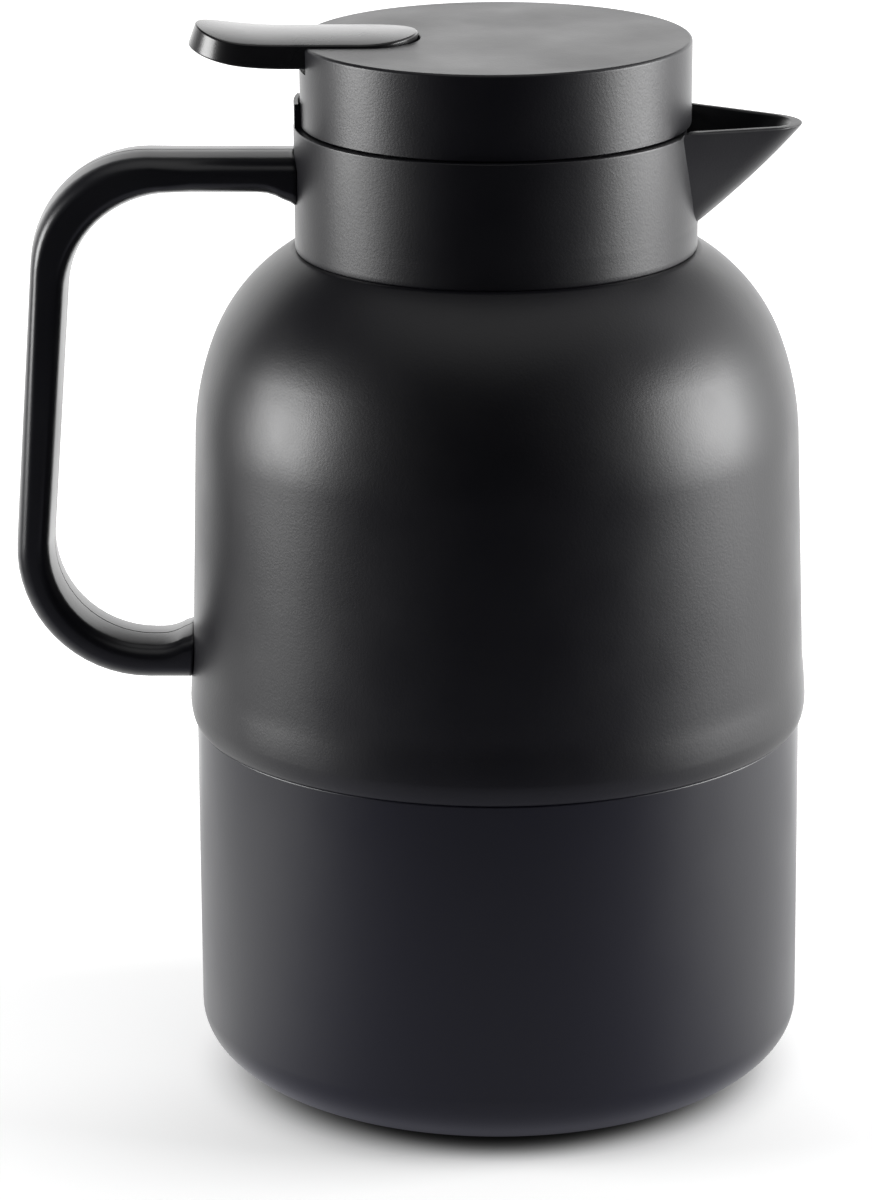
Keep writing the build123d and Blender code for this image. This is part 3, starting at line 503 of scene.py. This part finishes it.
columns = BEAK_COLUMNS + RING_COLUMNS
half_beak = BEAK_COLUMNS // 2
profile = [("outer", inset, collar_foot + up) for inset, up in outer_rows]
profile += [("outer rim", inset, down) for inset, down in rim_rows]
profile += [("inner rim", inset, down) for inset, down in reversed(rim_rows)]
profile += [("inner", 0.0, rim - inner_start - inner_pitch * row) for row in range(20)]
profile += [("inner", 0.0, collar_foot)]
collar_shape = bmesh.new()
first = [collar_shape.verts.new((0.05, 0, ROW_MARK * row)) for row in range(len(profile))]
first_edges = [collar_shape.edges.new(pair) for pair in zip(first, first[1:] + first[:1])]
bmesh.ops.spin(
    collar_shape, geom=first + first_edges, axis=(0, 0, 1), cent=(0, 0, 0), angle=tau,
    steps=columns, use_merge=True, use_duplicate=False,
)
bmesh.ops.remove_doubles(collar_shape, verts=collar_shape.verts, dist=HAIR)
for vert in collar_shape.verts:
    row = round(vert.co.z / ROW_MARK)
    column = round(atan2(vert.co.y, vert.co.x) / tau * columns) % columns
    side, inset, level = profile[row]
    inner, on_rim = side.startswith("inner"), side.endswith("rim")
    height = rim + level if on_rim else level
    circle = collar_radius - ring_wall if inner else collar_radius
    base = beak_wall if inner else 0.0
    spread = max(parting(circle, height - base, base), least_spread)
    if half_beak < column < columns - half_beak:
        angle = spread + (tau - 2 * spread) * (column - half_beak) / RING_COLUMNS
    else:
        angle = spread * (column if column <= half_beak else column - columns) / half_beak
    if angle > pi:
        angle -= tau
    radius = wall_point(angle, height, inset, inner)
    if on_rim:
        swell = 1 + tip_swell * min(max(radius - collar_radius, 0) / swell_run, 1)
        height = rim_height(radius) + level * swell
        radius = wall_point(angle, height, inset * swell, inner)
    elif not inner and height > rim - rim_zone:
        height = min(height, rim_height(radius) - edge)
    vert.co = Vector((cos(angle) * radius, sin(angle) * radius, height)) * MM

# %% [markdown]
# Behind the lid the collar has a low tab that stops the lever from being forced down.
# It is a stretch of the rim, raised and thinned, so it is made by lifting those faces.

# %% Tab behind the lid, and the finished collar
tab_half, tab_reach = 6.0, 0.9 * collar_radius
tab_outset, tab_inset, outer_zone = 0.1, 0.4, 1.3
rim_play, level_enough = 0.05, 0.9
collar_shape.normal_update()


def under_tab(face):
    """Whether a face is a piece of the rim on which the tab stands."""
    x, y, z = face.calc_center_median() / MM
    behind = x < -tab_reach and abs(y) < tab_half
    return behind and z > rim - rim_play and abs(face.normal.z) > level_enough


tab_faces = [face for face in collar_shape.faces if under_tab(face)]
raised = bmesh.ops.extrude_face_region(collar_shape, geom=tab_faces)
raised_verts = [item for item in raised["geom"] if isinstance(item, bmesh.types.BMVert)]
bmesh.ops.delete(collar_shape, geom=tab_faces, context="FACES")
for vert in raised_verts:
    flat = Vector((vert.co.x, vert.co.y, 0))
    outer = flat.length > (collar_radius - outer_zone) * MM
    radius = (collar_radius - tab_outset if outer else lid_radius + tab_inset) * MM
    vert.co = flat.normalized() * radius + Vector((0, 0, collar_high.z * MM))
piece(
    "jug_collar", collar_shape, "jug", casing_black, ["spout_collar"], sharp=38
)

# %% [markdown]
# ## The handle
# The handle is moulded in two halves that part along its middle, which leaves a fine
# line on its back and inside. Its section is a broad bar with oval corners and a low
# crown on both faces. Two rails give its outer and inner line, and a ring between each
# pair of points gives the loft.

# %% Rails of the handle
handle_low, handle_high = reach("handle")
half_width = handle_high.y
top_bar, low_bar = 9.2, 9.4
top_under, low_over = handle_high.z - top_bar, handle_low.z + low_bar
top_root, low_root = -44, -68
bend_steps = 16
back = soften(
    [(top_root, handle_high.z), (-109.3, handle_high.z, 28),
     (-119.2, handle_low.z, 32), (low_root, handle_low.z)], bend_steps,
)
finger = soften(
    [(top_root, top_under), (-100.8, top_under, 26.5),
     (-109.5, low_over, 23.5), (low_root, low_over)], bend_steps,
)
top_places = (48.1, 48.5, 49.3, 50.5, 52, 54, 56.5, 60, 66, 72)
low_places = (84, 82, 80.5, 79, 77.5, 76.4, 75.6, 75.1, 74.7)


def flared(places, outer, inner, run, widening):
    """Pairs of rail points on a straight bar that widens towards its root."""
    found = []
    for along in places:
        flare = max(0.0, 1 - (along - min(places)) / run)
        found.append((Vector((-along, outer)), Vector((-along, inner + widening * flare**2))))
    return found


stations = flared(top_places, handle_high.z, top_under, 8.0, -3.4)
stations += list(zip(back[1:-1], finger[1:-1]))
stations += flared(low_places, handle_low.z, low_over, 7.5, 2.9)
print("handle stations", len(stations))

# %% Section of the handle
palm_round, finger_round, crown_rise = (6.0, 3.6), (4.2, 3.2), 0.4
round_turns = (0, 13, 26, 39, 52, 65, 76)
crown_shares = (0.85, 0.65, 0.45, 0.25)
groove_half, groove_depth = 0.22, 0.14


def half_section(thickness, corner):
    """One side of the section: across the handle, and out from its middle line."""
    across, out = corner
    flat, base = half_width - across, thickness / 2 - crown_rise
    side = [
        (flat + across * cos(radians(t)), base - out + out * sin(radians(t)))
        for t in round_turns
    ]
    side += [(flat * s, base + crown_rise * (1 - s * s)) for s in crown_shares]
    side += [(k * groove_half, thickness / 2) for k in (2, 1)]
    return side + [(0.0, thickness / 2 - groove_depth)] + [(-a, o) for a, o in reversed(side)]


# %% Loft of the handle
wall_gap, root_inset = 0.02, 0.35
top_gaps, low_gaps = (wall_gap, 0.4, 1.2), (wall_gap, 0.4, 1.0)
handle_shape = bmesh.new()
rings = []
for outer, inner in stations:
    middle, thickness = (outer + inner) / 2, (outer - inner).length
    out_way = (outer - inner).normalized()
    section = half_section(thickness, palm_round)
    section += [(-a, -o) for a, o in half_section(thickness, finger_round)]
    circle = bmesh.ops.create_circle(handle_shape, radius=1, segments=len(section))["verts"]
    for vert, (across, out) in zip(circle, section):
        spot = middle + out_way * out
        vert.co = Vector((spot.x, across, spot.y)) * MM
    rings.append(circle)


def onto(ring, radius_at, gap):
    """Lay a ring of the handle on a round wall, a gap away from it."""
    for vert in ring:
        wall = (radius_at(vert.co.z / MM) + gap) * MM
        vert.co.x = -sqrt(wall**2 - vert.co.y**2)


def casing_radius(height):
    """Radius of the upper casing near the lower end of the handle."""
    share = min(max((height - seam - lip_rise) / (straight_foot - seam - lip_rise), 0), 1)
    return lip_radius + (body_radius - lip_radius) * share


def loop_edges(ring):
    """The edges that join the points of one ring."""
    return {side for vert in ring for side in vert.link_edges if side.other_vert(vert) in ring}


for gap, ring in zip(top_gaps, rings):
    onto(ring, lambda height: collar_radius, gap)
for gap, ring in zip(low_gaps, reversed(rings)):
    onto(ring, casing_radius, gap)
for ring in (rings[0], rings[-1]):
    heart = sum((vert.co for vert in ring), Vector()) / len(ring)
    for vert in ring:
        shift = (vert.co - heart).normalized() * root_inset * MM
        vert.co -= Vector((0, shift.y, shift.z))
for near, far in zip(rings, rings[1:]):
    bmesh.ops.bridge_loops(handle_shape, edges=list(loop_edges(near) | loop_edges(far)))
for ring in (rings[0], rings[-1]):
    bmesh.ops.contextual_create(handle_shape, geom=ring)
piece("jug_handle", handle_shape, "jug", handle_black, ["handle"], sharp=50)

# %% [markdown]
# ## The lid
# The lid is a flat-topped cap whose outline already has its rounds. The slot for the
# lever is cut through its top and its skirt with a stadium-shaped cutter, and the
# edges round the slot in the top are rounded afterwards.

# %% Lid cap
lid_wall, lid_roof = 2.4, 2.6
roof_fillet, skirt_edge, skirt_draft, lid_edge = 1.2, 0.2, 0.15, 0.8
level_turn = radians(0.05)
lever_half = lever_high.y
lever_nose, lever_foot = -18.3, 252.9
slot_gap, slot_tail, slot_edge = 0.55, -80, 0.35
top_play, rim_band, least_turn = 0.01, 0.9, 1
slot_half = lever_half + slot_gap
notch_foot, past_lid = 251.6, 5
lid_outline = soften(
    [(0, lid_top - lid_roof), (lid_radius - lid_wall, lid_top - lid_roof, roof_fillet),
     (lid_radius - lid_wall, skirt_foot + skirt_edge),
     (lid_radius - skirt_draft, skirt_foot, skirt_edge),
     (lid_radius, lid_top, lid_edge), (0, lid_top)], 6,
)
lid_shape = spun(lid_outline, closed=False, steps=192)
bmesh.ops.remove_doubles(lid_shape, verts=lid_shape.verts, dist=WELD)
bmesh.ops.dissolve_limit(
    lid_shape, angle_limit=level_turn, verts=lid_shape.verts, edges=lid_shape.edges
)


def stadium(nose_x, tail_x, half, low, high, segments=64):
    """A prism whose outline is a stadium along the x axis."""
    shape = bmesh.new()
    made = bmesh.ops.create_circle(shape, cap_ends=True, radius=half * MM, segments=segments)
    for vert in made["verts"]:
        vert.co.x += (nose_x - half if vert.co.x > 0 else tail_x + half) * MM
        vert.co.z = low * MM
    face = next(iter(shape.faces))
    top = bmesh.ops.extrude_face_region(shape, geom=[face])["geom"]
    lifted = [item for item in top if isinstance(item, bmesh.types.BMVert)]
    bmesh.ops.translate(shape, verts=lifted, vec=(0, 0, (high - low) * MM))
    return shape


def cut(shape, cutter):
    """Take one closed bmesh out of another with an exact boolean."""
    objects = []
    for part in (shape, cutter):
        bmesh.ops.recalc_face_normals(part, faces=part.faces)
        objects.append(placed("work", as_mesh("work", part)))
    boolean = objects[0].modifiers.new("cut", "BOOLEAN")
    boolean.object, boolean.operation, boolean.solver = objects[1], "DIFFERENCE", "EXACT"
    graph = bpy.context.evaluated_depsgraph_get()
    result = bmesh.new()
    result.from_mesh(objects[0].evaluated_get(graph).to_mesh())
    for work in objects:
        bpy.data.objects.remove(work)
    return result


def on_slot(side):
    """Whether an edge of the lid runs round the slot in its top."""
    level = all(vert.co.z > (lid_top - top_play) * MM for vert in side.verts)
    inside = all(vert.co.xy.length < (lid_radius - rim_band) * MM for vert in side.verts)
    folded = len(side.link_faces) == 2 and side.calc_face_angle() > least_turn
    return level and inside and folded


slot_cutter = stadium(lever_nose + slot_gap, slot_tail, slot_half, notch_foot, lid_top + past_lid)
lid_shape = cut(lid_shape, slot_cutter)
bmesh.ops.bevel(
    lid_shape, geom=[side for side in lid_shape.edges if on_slot(side)], offset=slot_edge * MM,
    segments=3, profile=0.5, affect="EDGES", material=-1,
)
piece("lid_cap_shell", lid_shape, "lid", lid_black, ["lid_cap"], sharp=38)

# %% [markdown]
# ## The thumb lever
# The lever is a flat bar with round ends that sits in the slot and stands a little
# proud of it. Towards the thumb its top rises into a dish and its underside follows.
# Across its width the top is slightly crowned, so light runs along its far edge. A
# grid is wrapped into a stack of rings, each a little further in than the one before,
# which gives the blade its wall, its rounded edges and its curved faces. The first and
# the last ring close to a spine.

# %% Rings of the lever
lever_tip_x = lever_low.x
lever_proud = 1.45
lever_top = lid_top + lever_proud
dish_start, dish_end, dish_rise, dish_power, dish_past = 50.0, 71.0, 2.0, 2.2, 1.1
under_start, under_rise, under_power = 48.0, 3.5, 2.4
tip_lean, lever_crown = 1.6, 0.85
round_steps, straight_steps = 26, 34


def stadium_point(step, inset):
    """Place of one point of a stadium ring that lies inside the lever's outline."""
    nose, tail = lever_nose - lever_half, lever_tip_x + lever_half
    half = lever_half - inset
    turn, along = divmod(step, round_steps + straight_steps)
    middle, other = (nose, tail) if turn == 0 else (tail, nose)
    side = 1 if turn == 0 else -1
    if along < round_steps:
        angle = pi * along / round_steps - pi / 2
        return middle + side * half * cos(angle), side * half * sin(angle)
    share = (along - round_steps) / straight_steps
    return middle + (other - middle) * share, side * half


def top_height(x):
    """Height of the blade's top, which rises towards the thumb."""
    climb = min(max((-x - dish_start) / (dish_end - dish_start), 0), dish_past)
    return lever_top + dish_rise * climb**dish_power


def under_height(x):
    """Height of the blade's underside."""
    climb = min(max((-x - under_start) / (-lever_tip_x - under_start), 0), 1)
    return lever_foot + under_rise * climb**under_power


# %% Blade of the lever
top_round, under_round = 0.55, 0.5
top_insets = (1.6, 3.0, 4.5, 6.5, 8.7, 11.0, 12.9)
under_insets = (12.9, 11.0, 8.0, 5.0, 2.5)
ring_plan = [("under", inset, 0.0) for inset in under_insets]
ring_plan += [
    ("under", under_round * (1 - sin(t)), under_round * (1 - cos(t)))
    for t in (radians(18 * k) for k in range(6))
]
ring_plan += [
    ("top", top_round * (1 - cos(t)), -top_round * (1 - sin(t)))
    for t in (radians(15 * k) for k in range(7))
]
ring_plan += [("top", inset, 0.0) for inset in top_insets]
blade = bmesh.new()
across, along = 2 * (round_steps + straight_steps), len(ring_plan) - 1
bmesh.ops.create_grid(blade, x_segments=across, y_segments=along, size=1)
spines = []
for vert in blade.verts:
    step = round((vert.co.x + 1) / 2 * across) % across
    row = round((vert.co.y + 1) / 2 * along)
    side, inset, lift = ring_plan[row]
    x, y = stadium_point(step, inset)
    height = under_height(x)
    if side == "top":
        height = top_height(x) - lever_crown * (y / lever_half) ** 2
    lean = tip_lean * max(0.0, (-x - dish_start) / (-lever_tip_x - dish_start)) ** 2
    if row in (0, along):
        y = 0.0
        spines.append(vert)
    vert.co = Vector((x + (lean if side == "top" else 0), y, height + lift)) * MM
bmesh.ops.remove_doubles(blade, verts=spines, dist=WELD)
bmesh.ops.remove_doubles(blade, verts=blade.verts, dist=WELD)
print("blade of", len(blade.verts), "vertices")

# %% [markdown]
# Under the lid the lever runs on as a forked arm that lifts the valve's stem. That arm
# never shows, so it is taken from the engineering model: a merged copy of the node is
# cut off below the blade and inside the lid's wall, and joined on.

# %% Arm of the lever
arm_weld, arm_play = 0.005 * MM, 0.02
arm = bmesh.new()
arm.from_mesh(nodes["thumb_lever"].data)
bmesh.ops.remove_doubles(arm, verts=arm.verts, dist=arm_weld)
arm_limits = (((0, 0, lever_foot - arm_play), (0, 0, 1)), ((-lid_radius, 0, 0), (-1, 0, 0)))
for limit, outward in arm_limits:
    bmesh.ops.bisect_plane(
        arm, geom=arm.verts[:] + arm.edges[:] + arm.faces[:], plane_co=Vector(limit) * MM,
        plane_no=outward, clear_outer=True,
    )
bmesh.ops.holes_fill(arm, edges=arm.edges, sides=0)
blade.from_mesh(as_mesh("arm", arm))
piece("lever_blade", blade, "lever", lever_black, ["thumb_lever"], sharp=45)

# %% [markdown]
# ## Soft parts
# The foot pad and the stopper's seal are moulded silicone, and both show when the jug
# is turned over or opened. They are spun with generous rounds, as soft parts have.

# %% Foot pad and stopper seal
pad_groove = ((26, 0), (26.6, 0.5), (29.4, 0.5), (30, 0))
pad_flat, pad_edge, pad_top_edge = 34, 0.8, 0.3
seal_inner, seal_lead, seal_edge, seal_inner_edge = 34.5, 1.3, 0.7, 0.5
pad_outline = [Vector((0, pad_low.z))]
pad_outline += [Vector((radius, pad_low.z + up)) for radius, up in pad_groove]
pad_outline += soften(
    [(pad_flat, pad_low.z), (pad_high.x, pad_low.z, pad_edge),
     (pad_high.x, pad_high.z, pad_top_edge), (0, pad_high.z)]
)[1:]
pad_shape = spun(pad_outline, closed=False)
piece("foot_pad_soft", pad_shape, "jug", pad_grey, ["foot_pad"])
seal_outline = soften(
    [(seal_inner, seal_high.z, seal_inner_edge), (seal_high.x, seal_high.z, seal_edge),
     (seal_high.x, seal_low.z, seal_edge), (seal_inner + seal_lead, seal_low.z, seal_inner_edge)],
    5,
)
seal_shape = spun(seal_outline)
piece("stopper_seal_ring", seal_shape, "seal_ring", seal_grey, ["stopper_gasket"])

# %% [markdown]
# ## Pieces that keep their engineering shape
# Stopper, valve, flask and screws are right as they are and show only when the lid is
# off. They keep their own meshes and get the finish of the real part.

# %% Finishes of the inner pieces
inner_finish = {
    inner_black: ["neck_sleeve", "neck_ring_nut", "stopper_body", "valve_seat", "chamber_cover",
                  "valve_stem", "valve_disc", "stem_cap"],
    steel: ["flask_outer_wall", "flask_inner_wall", "getter", "handle_screws", "lid_screws",
            "lever_pin", "return_spring"],
    seal_grey: ["mouth_gasket", "stem_seal", "valve_gasket", "base_cushion"],
    bead: ["vacuum_seal_plug"],
}
for finish, names in inner_finish.items():
    for name in names:
        nodes[name].data.materials.clear()
        nodes[name].data.materials.append(finish)
print("inner pieces", sum(len(names) for names in inner_finish.values()))

# %% [markdown]
# ## Studio
# The jug stands on a white sheet in a dark studio, between two low softboxes, with a
# white wall behind it. Satin black shows nothing but what it reflects, so the setting
# is told apart by kind of ray. The camera sees a clean white sweep with a soft shade
# where the jug meets it, partly cast by the lamps and partly painted shade in the
# sheet's colour and glow. Reflections see a glowing sheet with painted light: darker
# and a little cooler towards the photographer, darker near the foot, and fading out
# before half a metre.

# %% Helpers for the studio's patterns


def ramp(tree, value, start, end, low=0.0, high=1.0):
    """A smooth step of a socket between two of its values."""
    node = add_node(
        tree, "ShaderNodeMapRange",
        {"Value": value, "From Min": start, "From Max": end, "To Min": low, "To Max": high},
        interpolation_type="SMOOTHSTEP",
    )
    return node.outputs["Result"]


def blend_of(tree, kind, first, second):
    """A math node of a kind with two inputs."""
    return add_node(tree, "ShaderNodeMath", {0: first, 1: second}, operation=kind).outputs["Value"]


# %% Floor
floor_reach = 4.0
paper_white = 0.92
painted_foot_shade, painted_contact_shade = (0.052, 0.069), (0.056, 0.078)
sheet_fade, far_lift = (0.26, 0.42), (0.13, 0.32)
ground = bmesh.new()
bmesh.ops.create_circle(ground, cap_ends=True, radius=floor_reach, segments=96)
floor_mesh = as_mesh("floor", ground)
floor = placed("floor", floor_mesh)
paper, tree, shader = blank("white paper sweep")
shader.inputs["Roughness"].default_value = 0.9
shader.inputs["Specular IOR Level"].default_value = 0.1
rays = add_node(tree, "ShaderNodeLightPath")
spot = add_node(tree, "ShaderNodeTexCoord").outputs["Object"]
away = add_node(tree, "ShaderNodeVectorMath", {0: spot}, operation="LENGTH").outputs["Value"]
depth = add_node(tree, "ShaderNodeSeparateXYZ", {0: spot}).outputs["Y"]
facing = blend_of(tree, "DIVIDE", depth, away)
# Painted shade: close to the foot the sheet's colour is darkened, standing in for the shadow under
# the cup's round corner.
under = ramp(tree, away, *painted_foot_shade, 0.05, 1.0)
tree.links.new(blend_of(tree, "MULTIPLY", under, paper_white), shader.inputs["Base Color"])
# Painted shade and light: the glow the camera sees fades out near the foot and is weaker towards
# the photographer, and far off it rises to keep the sweep white.
glow_with_painted_shade = blend_of(
    tree, "MULTIPLY", ramp(tree, away, *painted_contact_shade),
    ramp(tree, facing, -1.0, 0.0, 0.18, 0.37),
)
lift = blend_of(tree, "ADD", glow_with_painted_shade, ramp(tree, away, *far_lift, 0.0, 0.6))
glow = add_node(tree, "ShaderNodeEmission", {"Strength": lift})
seen = add_node(tree, "ShaderNodeAddShader", {0: shader.outputs[0], 1: glow.outputs[0]})
# Painted reflection: in reflections the floor is a glowing sheet, dim towards the photographer and
# bright behind the jug, where a strip lights the rims of the round walls.
painted_sheet_light = blend_of(
    tree, "ADD", ramp(tree, facing, -0.95, 0.1, 0.42, 1.25),
    ramp(tree, facing, 0.72, 0.97, 0.0, 2.6),
)
# Painted reflection tint: the glowing sheet turns a little cool towards the photographer.
warmth = ramp(tree, facing, -1.0, 0.0, 0.9, 1.0)
coolness = ramp(tree, facing, -1.0, 0.0, 1.06, 1.0)
painted_sheet_tint = add_node(
    tree, "ShaderNodeCombineColor", {"Red": warmth, "Green": warmth, "Blue": coolness}
)
# Painted shade: the glowing sheet is darkened near the foot as well.
painted_sheet_glow = blend_of(tree, "MULTIPLY", painted_sheet_light, under)
near_sheet = add_node(
    tree, "ShaderNodeEmission", {"Color": painted_sheet_tint.outputs["Color"], "Strength": painted_sheet_glow}
)
beyond = add_node(tree, "ShaderNodeBsdfTransparent")


def mixed(tree, share, first, second):
    """A mix of two shaders by a share."""
    inputs = {0: share, 1: first.outputs[0], 2: second.outputs[0]}
    return add_node(tree, "ShaderNodeMixShader", inputs)


mirrored = mixed(tree, ramp(tree, away, *sheet_fade), near_sheet, beyond)
direct = mixed(tree, rays.outputs["Is Camera Ray"], shader, seen)
both = mixed(tree, rays.outputs["Is Glossy Ray"], direct, mirrored)
output = next(node for node in tree.nodes if node.type == "OUTPUT_MATERIAL")
tree.links.new(both.outputs[0], output.inputs["Surface"])
floor_mesh.materials.append(paper)

# %% [markdown]
# The sky lights the floor evenly. In reflections it is a white wall behind the jug and
# behind its right side, a weak ceiling, and black on the photographer's side.

# %% Sky
world = bpy.data.worlds.new("studio")
bpy.context.scene.world = world
world.use_nodes = True
sky = world.node_tree
sky.nodes.clear()
wall_glow, ceiling_glow, room_glow = 2.1, 0.7, 0.45
rays = add_node(sky, "ShaderNodeLightPath")
way = add_node(sky, "ShaderNodeTexCoord").outputs["Generated"]
axes = add_node(sky, "ShaderNodeSeparateXYZ", {0: way})
behind = ramp(sky, axes.outputs["Y"], 0.25, 0.95)
low_part = ramp(sky, axes.outputs["Z"], 0.25, 0.52, 1.0, 0.0)
wall = blend_of(sky, "MULTIPLY", blend_of(sky, "MULTIPLY", behind, low_part), wall_glow)
right_wall = blend_of(
    sky, "MULTIPLY", ramp(sky, axes.outputs["X"], 0.35, 0.75),
    ramp(sky, axes.outputs["Y"], -0.1, 0.3, 0.0, 1.6),
)
ceiling = ramp(sky, axes.outputs["Z"], 0.65, 1.0, 0.0, ceiling_glow)
mirror_sky = blend_of(sky, "ADD", blend_of(sky, "MAXIMUM", wall, right_wall), ceiling)
base = blend_of(sky, "MAXIMUM", rays.outputs["Is Camera Ray"], room_glow)
keep = blend_of(sky, "SUBTRACT", 1.0, rays.outputs["Is Glossy Ray"])
strength = blend_of(
    sky, "ADD", blend_of(sky, "MULTIPLY", base, keep),
    blend_of(sky, "MULTIPLY", mirror_sky, rays.outputs["Is Glossy Ray"]),
)
light = add_node(sky, "ShaderNodeBackground", {"Color": (1, 1, 1, 1), "Strength": strength})
add_node(sky, "ShaderNodeOutputWorld", {"Surface": light.outputs[0]})

# %% [markdown]
# The softboxes stand a metre away, straight to the left and right, at the height of the
# dome. That puts their bands half-way to the edge of each round wall, and their
# brightest spots low on the dome's shoulders.

# %% Softboxes


def softbox(name, spot, target, width, height, power):
    """An area lamp at a spot that faces a target, in metres and watts."""
    lamp = bpy.data.lights.new(name, "AREA")
    lamp.shape = "RECTANGLE"
    lamp.size, lamp.size_y, lamp.energy = width, height, power
    made = placed(name, lamp)
    made.location = spot
    aim = Vector(target) - Vector(spot)
    made.rotation_euler = aim.to_track_quat("-Z", "Y").to_euler()


softbox("left softbox", (-0.99, -0.10, 0.24), (0, 0, 0.19), 0.48, 0.42, 10.8)
softbox("right softbox", (1.0, -0.04, 0.28), (0, 0, 0.20), 0.62, 0.50, 15.6)

# %% [markdown]
# ## Camera
# The camera repeats the photograph's: a long lens a little over a metre away, looking
# down by seventeen degrees, turned slightly left so that the jug stands right of the
# middle. The angles come from fitting the round edges of the jug.

# %% Camera
photo_height, jug_shift = 1200, 61.45
focal_pixels = 5275.7
camera_distance, camera_height = 1.2294, 0.4922
pitch, roll = 0.2945, -0.0034
pan = atan2(jug_shift, focal_pixels)
azimuth = radians(1.0)
lens = bpy.data.cameras.new("camera")
lens.sensor_width = 36.0
lens.lens = focal_pixels * lens.sensor_width / photo_height
camera = placed("camera", lens)
right = Vector((1, 0, 0))
ahead = Vector((0, cos(pitch), -sin(pitch)))
up = Vector((0, sin(pitch), cos(pitch)))
right, ahead = right * cos(pan) + ahead * sin(pan), ahead * cos(pan) - right * sin(pan)
right, up = right * cos(roll) + up * sin(roll), up * cos(roll) - right * sin(roll)
turn = Matrix.Rotation(azimuth, 3, "Z")
look = Matrix((turn @ right, turn @ up, -(turn @ ahead))).transposed()
spot = turn @ Vector((0, -camera_distance, camera_height))
camera.matrix_world = Matrix.Translation(spot) @ look.to_4x4()
bpy.context.scene.camera = camera
bpy.context.scene.view_settings.view_transform = "Standard"
